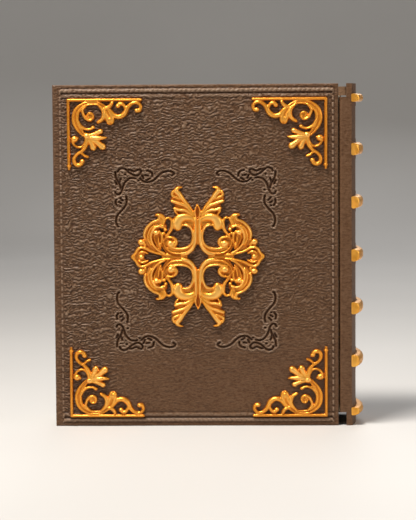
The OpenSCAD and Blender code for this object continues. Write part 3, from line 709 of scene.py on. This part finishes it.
def pressed_lines():
    """All pressed lines of one corner as short segments."""
    lines = [spline(line, 0.8)[:, :2] for line in PRESSED]
    lines += [np.array([dot, (dot[0] + 0.2, dot[1])]) for dot in PRESSED_DOTS]
    starts = np.vstack([line[:-1] for line in lines])
    ends = np.vstack([line[1:] for line in lines])
    return starts, ends


PRESSED_A, PRESSED_B = pressed_lines()


def distance_to_pressed(x, z, middle_x, middle_z):
    """Distance from each point of a board to the nearest pressed line."""
    u = FLOURISH_W - np.abs(x - middle_x)
    v = FLOURISH_H - np.abs(z - middle_z)
    nearest = np.full(x.shape, FAR)
    for a, b in zip(PRESSED_A, PRESSED_B):
        lo, hi = np.minimum(a, b) - PRESSED_REACH, np.maximum(a, b) + PRESSED_REACH
        near = np.flatnonzero((u > lo[0]) & (u < hi[0]) & (v > lo[1]) & (v < hi[1]))
        if not len(near):
            continue
        d = b - a
        t = np.clip(((u[near] - a[0]) * d[0] + (v[near] - a[1]) * d[1]) / (d @ d + 1e-9), 0, 1)
        gap = np.hypot(u[near] - a[0] - t * d[0], v[near] - a[1] - t * d[1])
        nearest[near] = np.minimum(nearest[near], gap)
    return nearest


def bead(distance, width):
    """A round ridge across a distance, 1 at its middle."""
    return np.sqrt(np.clip(1 - (distance / (width / 2)) ** 2, 0, 1))


def folds(along, pitch):
    """Folds that follow each other at a pitch: 0 on their crests and 1 in the creases between them."""
    return np.abs((along / pitch) % 1 - 0.5) * 2


def wrinkles(x, z, seed):
    """Leather creases that run across the board: wavy folds that fade out, with finer ones between them."""
    drift = 3.4 * noise_2d(x / 18, z / 16, seed) + 2.3 * noise_2d(x / 3.7, z / 6.5, seed + 1)
    drift += 1.1 * noise_2d(x / 1.9, z / 2.6, seed + 3)
    slanted = z + 0.6 * x * noise_2d(x / 40, z / 9, seed + 6) + 1.4 * drift
    share = smoothstep(-0.22, 0.16, noise_2d(x / 4.4, z / 3.4, seed + 2))
    wavy = (0.3 + 0.7 * share) * (1 - folds(z + drift, 2.05) ** 1.15)
    finer = (1 - 0.7 * share) * (1 - folds(slanted, 1.65) ** 1.15)
    return 1.7 * np.maximum(wavy, finer) - 0.9


def stitched_line(edge, along):
    """A sewn line: stitches between two fine grooves, with a dimple between one stitch and the next."""
    phase = np.abs((along / STITCH_PITCH) % 1 - 0.5) * STITCH_PITCH
    dash = smoothstep(1.7, 0.9, phase)
    sides = 0.3 * np.exp(-(((np.abs(edge) - 0.95) / 0.36) ** 2))
    return (0.8 * dash - 0.3 * (1 - dash)) * bead(edge, 1.3) - sides


def creased_field(x, z, seed):
    """Height of the wrinkles over a board, weaker at its edges, towards its spine and low down on it."""
    fore, spine, head = x - FORE_X, EDGE_X - x, HEAD_Z - z
    across, up = fore / (EDGE_X - FORE_X), z / HEAD_Z
    smooth = smoothstep(0.38, 0.12, up + 0.08 * noise_2d(x / 20, z / 20, seed + 5))
    smooth *= smoothstep(0.1, 0.3, across)
    depth = 0.56 * (1 - 0.75 * smooth) * (1 - 0.35 * smoothstep(0.35, 0.95, across))
    inside = smoothstep(0.2, 1.2, np.minimum.reduce([fore, spine, z, head]))
    field = np.minimum.reduce([fore - FIELD_FORE, spine - FIELD_SPINE, head - FIELD_END, z - FIELD_END])
    return depth * wrinkles(x, z, seed) * (0.2 + 0.8 * inside) * (0.5 + 0.5 * smoothstep(-1, 2, field))


def board_relief(x, z, middle_x, middle_z, seed):
    """Height of a board's leather over its flat face, in millimetres."""
    height = creased_field(x, z, seed)
    fore, spine, head = x - FORE_X, EDGE_X - x, HEAD_Z - z
    clear = smoothstep(1.5, 2.5, np.minimum(head, z))
    along = z + 0.35 * noise_2d(x / 9, z / 7, seed + 8)
    for edge, depth in ((fore - SEWN_FORE, 0.42), (spine - SEWN_SPINE, 0.58)):
        height = height * (1 - 0.7 * clear * smoothstep(1.6, 0.8, np.abs(edge)))
        height += depth * clear * stitched_line(edge, along)
    # Beaded lines along head and tail, between the sewn lines
    inner = smoothstep(-0.4, 0.6, np.minimum(fore - FIELD_FORE, spine - FIELD_SPINE))
    for edge, inset in ((head, BEADED_HEAD), (z, BEADED_TAIL)):
        ragged = noise_2d(x / 1.3, edge / 1.4, seed + 7)
        knurl = 0.66 + 0.34 * np.cos(2 * math.pi * (x + 0.8 * edge) / 2.9 + 1.6 * ragged)
        height += inner * 0.85 * knurl * bead(edge - inset, 2.1)
        for groove, depth, width in ((-1.5, 0.28, 0.45), (1.6, 0.5, 0.6), (4.8, 0.22, 0.45)):
            height -= inner * depth * np.exp(-(((edge - inset - groove) / width) ** 2))
        height += inner * (0.26 + 0.3 * ragged) * bead(edge - inset - 3.2, 2.2)
    pressed = distance_to_pressed(x, z, middle_x, middle_z)
    height = height * (0.4 + 0.6 * smoothstep(0.4, 1.8, pressed)) - 0.8 * np.exp(-((pressed / 0.5) ** 2))
    return height + 0.32 * bead(pressed - 1.2, 1.2)


def eased_steps(length, step, ease=(0, 0.15, 0.4, 0.8)):
    """Positions along a side, closer together at both ends for a rounded edge."""
    count = int(round((length - 2 * ease[-1]) / step)) + 1
    inner = np.linspace(ease[-1], length - ease[-1], count)
    return np.concatenate([ease[:-1], inner, length - np.array(ease[:-1])[::-1]])


def refined_grid(xs, zs, finer):
    """A grid with its flagged cells split in four: x and z, faces, and the vertices of its outline."""
    nx, nz = len(xs), len(zs)
    grid_x, grid_z = np.meshgrid(xs, zs, indexing="ij")
    points = list(zip(grid_x.ravel(), grid_z.ravel()))
    middles = {}
    for i, j in np.argwhere(finer):
        for a, b in loop_pairs(grid_cell(i, j, nz)):
            if frozenset((a, b)) not in middles:
                middles[frozenset((a, b))] = len(points)
                points.append(((points[a][0] + points[b][0]) / 2, (points[a][1] + points[b][1]) / 2))

    def with_middles(loop):
        """The loop with the middles of those of its sides that are split."""
        found = [(a, middles.get(frozenset((a, b)))) for a, b in loop_pairs(loop)]
        return [k for pair in found for k in pair if k is not None]

    faces = []
    for i in range(nx - 1):
        for j in range(nz - 1):
            loop = with_middles(grid_cell(i, j, nz))
            if not finer[i, j]:
                faces.append(loop)
                continue
            centre = len(points)
            points.append(((xs[i] + xs[i + 1]) / 2, (zs[j] + zs[j + 1]) / 2))
            faces += [(loop[k], loop[k + 1], centre, loop[k - 1]) for k in (0, 2, 4, 6)]
    return np.array(points), faces, with_middles(grid_border(nx, nz))


# Size of a board's grid cells, and how near to a pressed or sewn line they are split
CELL_X, CELL_Z = 0.75, 0.45
NEAR_PRESSED, NEAR_SEWN = 1.9, 1.5


def board_grid(middle_x, middle_z):
    """A refined grid over a board, finer along its pressed and sewn lines."""
    coarse = 1.0
    xs = FORE_X + eased_steps(EDGE_X - FORE_X, CELL_X * coarse)
    zs = eased_steps(HEAD_Z, CELL_Z * coarse)
    x, z = np.meshgrid((xs[1:] + xs[:-1]) / 2, (zs[1:] + zs[:-1]) / 2, indexing="ij")
    pressed = distance_to_pressed(x.ravel(), z.ravel(), middle_x, middle_z).reshape(x.shape)
    sewn = np.minimum(np.abs(x - FORE_X - SEWN_FORE), np.abs(EDGE_X - x - SEWN_SPINE))
    return refined_grid(xs, zs, (pressed < NEAR_PRESSED) | (sewn < NEAR_SEWN))


def nearest_place(outline, points, x, z):
    """Place in the outline of its vertex nearest to x and z."""
    at = points[outline]
    return int(np.argmin(np.hypot(at[:, 0] - x, at[:, 1] - z)))


def inner_faces(points, outline, start, boxes):
    """The inner face of the front board, with a recess for each box; the face's rim begins at start."""
    x0, x1, floor = boxes[0][0][0], boxes[0][1][0], boxes[0][1][1]
    rows, count = len(boxes), len(outline)

    def rim(a, b):
        """The rim's vertices from one place in the outline to another."""
        return [start + (a + k) % count for k in range((b - a) % count + 1)]

    def corner(row, k):
        """A corner of a recess, 0 to 3 round its mouth and 4 to 7 round its floor."""
        return start + count + 8 * row + k

    verts = []
    for lo, hi in boxes:
        for y in (BOARD_Y, floor):
            verts += [(x0, y, lo[2]), (x1, y, lo[2]), (x1, y, hi[2]), (x0, y, hi[2])]
    tail_0, tail_1 = (nearest_place(outline, points, x, 0) for x in (x0, x1))
    head_0, head_1 = (nearest_place(outline, points, x, HEAD_Z) for x in (x0, x1))
    faces = [
        rim(head_0, tail_0) + [corner(row, k) for row in range(rows) for k in (0, 3)],
        rim(tail_1, head_1) + [corner(row, k) for row in range(rows)[::-1] for k in (2, 1)],
        rim(tail_0, tail_1) + [corner(0, 1), corner(0, 0)],
        rim(head_1, head_0) + [corner(rows - 1, 3), corner(rows - 1, 2)],
    ]
    for row in range(rows - 1):
        faces.append([corner(row, 3), corner(row, 2), corner(row + 1, 1), corner(row + 1, 0)])
    for row in range(rows):
        for a, b in loop_pairs([0, 1, 2, 3]):
            faces.append([corner(row, a), corner(row, b), corner(row, 4 + b), corner(row, 4 + a)])
        faces.append([corner(row, k) for k in (4, 5, 6, 7)])
    return verts, faces


# Ends of the hinge lugs, their bore, how far they run into the board, and how far they reach past the pin
LUG_LOW, LUG_HIGH = 1.5, 7.1
LUG_BORE, LUG_ROOT, LUG_NOSE = 1.05, 0.6, 4.45
LUGS = [(LUG_LOW, LUG_HIGH), (HEAD_Z - LUG_HIGH, HEAD_Z - LUG_LOW)]


def hinge_lug(z0, z1):
    """A strap round the hinge pin that runs into the spine edge of the board, as a closed solid."""
    half, back = HALF_T - HINGE[1], HINGE[0] - EDGE_X + LUG_ROOT
    turn = math.pi - math.atan2(half, back)
    angles = sorted({*np.linspace(-math.pi, math.pi, 96, endpoint=False), turn, -turn})
    outer = []
    for a in angles:
        c, s = math.cos(a), math.sin(a)
        if c < 0:
            reach = min(back / max(-c, 1e-6), half / max(abs(s), 1e-6))
        else:
            reach = ((c / LUG_NOSE) ** 6 + abs(s / half) ** 6) ** (-1 / 6)
        outer.append((reach * c, reach * s))
    inner = [(LUG_BORE * math.cos(a), LUG_BORE * math.sin(a)) for a in angles]
    n = len(angles)
    verts = [(HINGE[0] + x, HINGE[1] + y, z) for z in (z0, z1) for x, y in outer + inner]
    faces = []
    for i, j in loop_pairs(list(range(n))):
        faces.append((i, j, 2 * n + j, 2 * n + i))
        faces.append((n + j, n + i, 3 * n + i, 3 * n + j))
        faces.append((j, i, n + i, n + j))
        faces.append((2 * n + i, 2 * n + j, 3 * n + j, 3 * n + i))
    return verts, faces


EDGE_ROUND = 0.8
# Height of the leather from its deepest painted shade to its brightest painted highlight, the level of the
# flat sides, and the higher level of the lugs, which lightens them as a painted highlight
RELIEF_SPAN, RIM_LEVEL, LUG_HIGHLIGHT_LEVEL = 1.1, 0.48, 0.72


def make_board(cover, side, body, seed):
    """A cover board: relief outside, rounded edges and flat inside; the front one has recesses and lugs."""
    lo, hi = box_mm(f"{cover}_medallion")
    middle_x = (lo[0] + hi[0]) / 2 + FLOURISH_SHIFT[0]
    middle_z = (lo[2] + hi[2]) / 2 + FLOURISH_SHIFT[1]
    points, faces, outline = board_grid(middle_x, middle_z)
    x, z = points.T
    relief = board_relief(x, z, middle_x, middle_z, seed)
    edge = np.minimum.reduce([x - FORE_X, (EDGE_X - x) * 2, z, HEAD_Z - z])
    ease = np.clip(edge / EDGE_ROUND, 0, 1)
    inset = EDGE_ROUND * (1 - np.sqrt(1 - (1 - ease) ** 2))
    outwards = HALF_T - inset + relief * smoothstep(0.1, 1.0, edge)
    verts = np.column_stack([x, side * outwards, z]).tolist()
    start = len(verts)
    verts += [(x[k], side * BOARD_Y, z[k]) for k in outline]
    rim = list(range(start, len(verts)))
    for (a, b), (c, d) in zip(loop_pairs(outline), loop_pairs(rim)):
        faces.append((b, a, c, d))
    lugs = []
    if cover == "front":
        recesses, inner = inner_faces(points, outline, start, [box_mm(f"lock_staple_{i}") for i in (1, 2, 3)])
        verts += recesses
        faces = [face[::-1] for face in faces] + inner
        lugs = [hinge_lug(z0, z1) for z0, z1 in LUGS]
    else:
        faces.append(rim[::-1])
    level = np.full(len(verts), RIM_LEVEL)
    # This level gives painted shade to the hollows and pressed lines and a painted highlight to the crests
    level[:start] = 0.5 + relief / RELIEF_SPAN
    verts, faces = joined([(verts, faces), *lugs])
    # The lugs are lightened as a painted highlight
    level = np.append(level, np.full(len(verts) - len(level), LUG_HIGHLIGHT_LEVEL))
    mesh = make_mesh(f"{cover}_board", verts, faces)
    mesh.set_sharp_from_angle(angle=math.radians(60))
    set_relief(mesh, level)
    make_piece(f"{cover}_board", mesh, body, "cover_leather", LEATHER, f"{cover}_cover")


# ------------ spine bands
# Radius of the round back, height of a band's straight sides, how deep its foot is sunk, how far its ends
# stand past the boards, and the length of its softened ends
BAND_R, BAND_LIFT, BAND_ROOT, BAND_PROUD, BAND_SOFT = 75.3, 0.6, 0.1, 0.3, 1.3


def make_band(i):
    """A raised band: a hand-hammered bead bent over the round back, with softened ends."""
    lo, hi = box_mm(f"raised_band_{i}")
    apex = box_mm("spine_shell")[1][0]
    half, rise = (hi[2] - lo[2]) / 2, hi[0] - apex - BAND_LIFT
    a = np.linspace(-1, 1, 27) * math.pi / 2
    out = BAND_LIFT + rise * np.cos(a) ** 0.75
    up = half * np.sign(a) * np.abs(np.sin(a)) ** 0.75
    up = np.concatenate([[-0.85 * half], up, [0.85 * half]])
    end = HALF_T + BAND_PROUD
    bend = BAND_SOFT * (1 - np.cos(np.linspace(0, math.pi / 2, 7)))
    straight = np.linspace(BAND_SOFT - end, end - BAND_SOFT, 48)[1:-1]
    ys = np.concatenate([bend - end, straight, end - bend[::-1]])
    verts = []
    for y in ys:
        t = max(0, (abs(y) - (end - BAND_SOFT)) / BAND_SOFT)
        shrink = 0.8 + 0.2 * math.sqrt(max(0, 1 - t * t))
        dents = np.clip(1.6 * noise_2d(np.full(len(a), y / 3.1), a * 1.5, 60 + i), -0.2, 1)
        r = BAND_R + np.concatenate([[-BAND_ROOT], out * (1 - 0.13 * dents) * shrink, [-BAND_ROOT]])
        x = apex - BAND_R + np.sqrt(r * r - y * y)
        z = (lo[2] + hi[2]) / 2 + up * (0.94 + 0.06 * shrink)
        verts += list(zip(x, np.full(len(x), y), z))
    faces = [face[::-1] for face in tube_faces(len(ys), len(up))]
    mesh = make_mesh(f"band_{i}_gilt", verts, faces)
    mesh.set_sharp_from_angle(angle=math.radians(50))
    make_piece(f"band_{i}_gilt", mesh, "case", "gilt_trim", GILT, f"raised_band_{i}")


# ------------ letters on the rings
ALPHABET = "ABCDEFGHIJKLMNOPQRSTUVWXYZ"
# Font size before a letter is fitted to its height and greatest width, then its rise over the ring
LETTER_SIZE, LETTER_H, LETTER_W, LETTER_RISE = 7.3, 5.2, 2.35, 0.12
# How much bolder than the font the letters are, except for those whose outlines would cross themselves
LETTER_OFFSET = 0.12
NOT_BOLDER = "MQ"


def letter_mesh(letter):
    """A raised letter in its own plane, x right, y up and z outwards, centred, in millimetres."""
    curve = bpy.data.curves.new("letter", "FONT")
    curve.body = letter
    curve.size = LETTER_SIZE
    curve.offset = 0 if letter in NOT_BOLDER else LETTER_OFFSET
    curve.extrude = LETTER_RISE
    curve.resolution_u = 3
    mesh = applied(curve)
    verts = np.array([v.co[:] for v in mesh.vertices])
    faces = [tuple(p.vertices) for p in mesh.polygons]
    bpy.data.meshes.remove(mesh)
    lo, hi = verts.min(axis=0), verts.max(axis=0)
    verts[:, :2] -= (lo[:2] + hi[:2]) / 2
    verts[:, 0] *= min(1, LETTER_W / (hi[0] - lo[0]))
    verts[:, 1] *= LETTER_H / (hi[1] - lo[1])
    return verts, faces


def make_letters():
    """The alphabet round each ring, with the next letter at each window from the head down."""
    shapes = [letter_mesh(letter) for letter in ALPHABET]
    for ring, ring_z in enumerate(RING_ZS, 1):
        parts = []
        for k in range(len(shapes)):
            points, faces = shapes[(RINGS - ring + k) % len(shapes)]
            angle = 2 * math.pi * k / len(shapes) + points[:, 0] / RING_R
            r = RING_R + points[:, 2]
            verts = zip(RING_X + r * np.cos(angle), r * np.sin(angle), ring_z + points[:, 1])
            parts.append((list(verts), faces))
        mesh = make_mesh(f"ring_{ring}_letters", *joined(parts), smooth=False)
        make_piece(f"ring_{ring}_letters", mesh, f"ring_{ring}", "gilt_trim", GILT)


# ------------ page edges and felt
# Mean height of the page edges over the block, their inset from its faces, and their end before the rings
PAGE_PROUD, PAGE_INSET, PAGE_END = 0.4, 0.1, 9


def ribbed_slab(to_place, across, along, seed):
    """A closed slab of page edges: across and along are its ranges, and ribs run along it."""
    us, vs = np.linspace(*across, 118), np.linspace(*along, 46)
    u, v = (grid.ravel() for grid in np.meshgrid(us, vs, indexing="ij"))
    ribs = noise_2d(u / 0.62, v / 60, seed) + 0.5 * noise_2d(u / 3.1, v / 40, seed + 1)
    height = PAGE_PROUD + np.clip(0.42 * ribs, -0.35, 0.35)
    top = [to_place(a, b, h) for a, b, h in zip(u, v, height)]
    base = [to_place(a, b, -PAGE_PROUD) for a, b in zip(u, v)]
    return top + base, slab_faces(len(us), len(vs))


def make_page_edges():
    """Leaves of paper over the fore edge, head and tail of the page block."""
    lo, hi = box_mm("page_block")
    y0, y1 = lo[1] + PAGE_INSET, hi[1] - PAGE_INSET
    along = lo[0], RING_X - PAGE_END
    slabs = [
        ribbed_slab(lambda u, v, h: (lo[0] - h, u, v), (y1, y0), (lo[2], hi[2]), 41),
        ribbed_slab(lambda u, v, h: (v, u, hi[2] + h), (y1, y0), along, 43),
        ribbed_slab(lambda u, v, h: (v, u, lo[2] - h), (y0, y1), along, 47),
    ]
    mesh = applied(make_mesh("page_edges", *joined(slabs)), ("WELD", {"merge_threshold": 1e-7}))
    mesh.set_sharp_from_angle(angle=math.radians(60))
    make_piece("page_edges", mesh, "case", "page_paper", PAPER)


# Width of the felt's soft edge, and the spacing of its vertices inside it
FELT_EDGE, FELT_STEP = 1.2, 1.6


def make_felt():
    """The felt sheet on the floor of the compartment, a little uneven, with soft edges."""
    lo, hi = box_mm("felt_liner")
    width, thick, length = hi - lo
    xs, zs = (eased_steps(side, FELT_STEP, (0, 0.2, 0.6, FELT_EDGE)) for side in (width, length))
    x, z = (grid.ravel() for grid in np.meshgrid(xs, zs, indexing="ij"))
    edge = np.minimum.reduce([x, width - x, z, length - z])
    nap = 0.16 * noise_2d(x / 2.3, z / 2.3, 5) + 0.14 * noise_2d(x / 23, z / 23, 6)
    top = thick - 0.3 + nap - 0.9 * np.clip(1 - edge / FELT_EDGE, 0, 1) ** 2
    verts = lo + np.vstack([np.column_stack([x, height, z]) for height in (top, 0 * top)])
    faces = [face[::-1] for face in slab_faces(len(xs), len(zs))]
    mesh = make_mesh("felt_sheet", verts, faces)
    sheet = make_piece("felt_sheet", mesh, "case", "felt_red", FELT, "felt_liner")


# ------------ CAD nodes that keep their own shape
FINISH = {
    "page_block": PAPER, "spine_shell": LEATHER_PLAIN, "index_marks": GILT,
    "guide_tube": STEEL, "spacer_sleeves": BRASS, "click_springs": SPRING, "access_plate": STEEL,
    "access_screws": BRASS, "cover_screws": STEEL, "hinge_pin_top": STEEL, "hinge_pin_bottom": STEEL,
    "spindle": STEEL, "lock_bar": STEEL, "lock_bolts": BRASS, "push_button": BRASS, "staple_screws": BRASS,
    "lock_staple_1": STEEL, "lock_staple_2": STEEL, "lock_staple_3": STEEL,
}
FINISH.update({f"letter_ring_{i}": RING for i in range(1, RINGS + 1)})
FINISH.update({f"lock_disc_{i}": BRASS for i in range(1, RINGS + 1)})


def finish_nodes():
    """Gives the CAD nodes that stay visible their materials."""
    for node, material in FINISH.items():
        piece = frame["nodes"][node]
        piece.data.materials.clear()
        piece.data.materials.append(material)


# ------------ floor and light
def make_stage():
    """A pale floor that bends up into a back wall."""
    s = Shader("pale_floor", Roughness=0.55)
    s.colour(s.ramp(s.noise(3, 2), [(0.3, (0.58, 0.57, 0.56)), (0.7, (0.62, 0.61, 0.6))]))
    half, back, rise, bend = 3.0, 2.2, 2.6, 0.8
    angles = np.linspace(0, math.pi / 2, 13)
    curve = [(back - bend + bend * math.sin(a), bend - bend * math.cos(a)) for a in angles]
    path = [(-half, 0), *curve, (back, rise)]
    verts = [(x / MM, y / MM, z / MM) for y, z in path for x in (-half, half)]
    faces = [(2 * i, 2 * i + 1, 2 * i + 3, 2 * i + 2) for i in range(len(path) - 1)]
    floor = bpy.data.objects.new("floor", make_mesh("floor", verts, faces))
    floor.data.materials.append(s.material)
    bpy.context.scene.collection.objects.link(floor)


def make_light(name, at, size, watts, aim=(0, 0, 0.1), tint=(1, 1, 1)):
    """A soft rectangular lamp turned to the object."""
    data = bpy.data.lights.new(name, "AREA")
    data.shape = "RECTANGLE"
    data.size, data.size_y = size
    data.energy = watts
    data.color = tint
    lamp = bpy.data.objects.new(name, data)
    lamp.location = at
    lamp.rotation_euler = (Vector(aim) - Vector(at)).to_track_quat("-Z", "Y").to_euler()
    bpy.context.scene.collection.objects.link(lamp)


def make_lights():
    """A faint warm surround, a lamp from above and fills from both sides and behind."""
    world = bpy.data.worlds.new("studio")
    world.use_nodes = True
    world.node_tree.nodes["Background"].inputs["Color"].default_value = (1, 0.97, 0.93, 1)
    world.node_tree.nodes["Background"].inputs["Strength"].default_value = 0.15
    bpy.context.scene.world = world
    make_light("top_key", (-0.26, -0.3, 1.0), (0.42, 0.2), 16, tint=(1, 0.95, 0.88))
    make_light("left_fill", (-1.1, -1.0, 0.7), (0.6, 0.6), 3.2, tint=(1, 0.96, 0.91))
    make_light("right_fill", (1.2, -0.9, 0.6), (0.6, 0.7), 3.8, tint=(1, 0.97, 0.93))
    make_light("spine_fill", (1.25, -0.12, 0.45), (0.5, 0.7), 2.6, tint=(1, 0.95, 0.88))
    make_light("rear", (0.3, 1.5, 0.9), (0.9, 0.7), 5)


finish_nodes()
make_board("back", -1, "case", 11)
make_board("front", 1, "cover", 23)
make_ornaments()
for number in range(1, RINGS + 2):
    make_band(number)
make_letters()
make_page_edges()
make_felt()
make_stage()
make_lights()
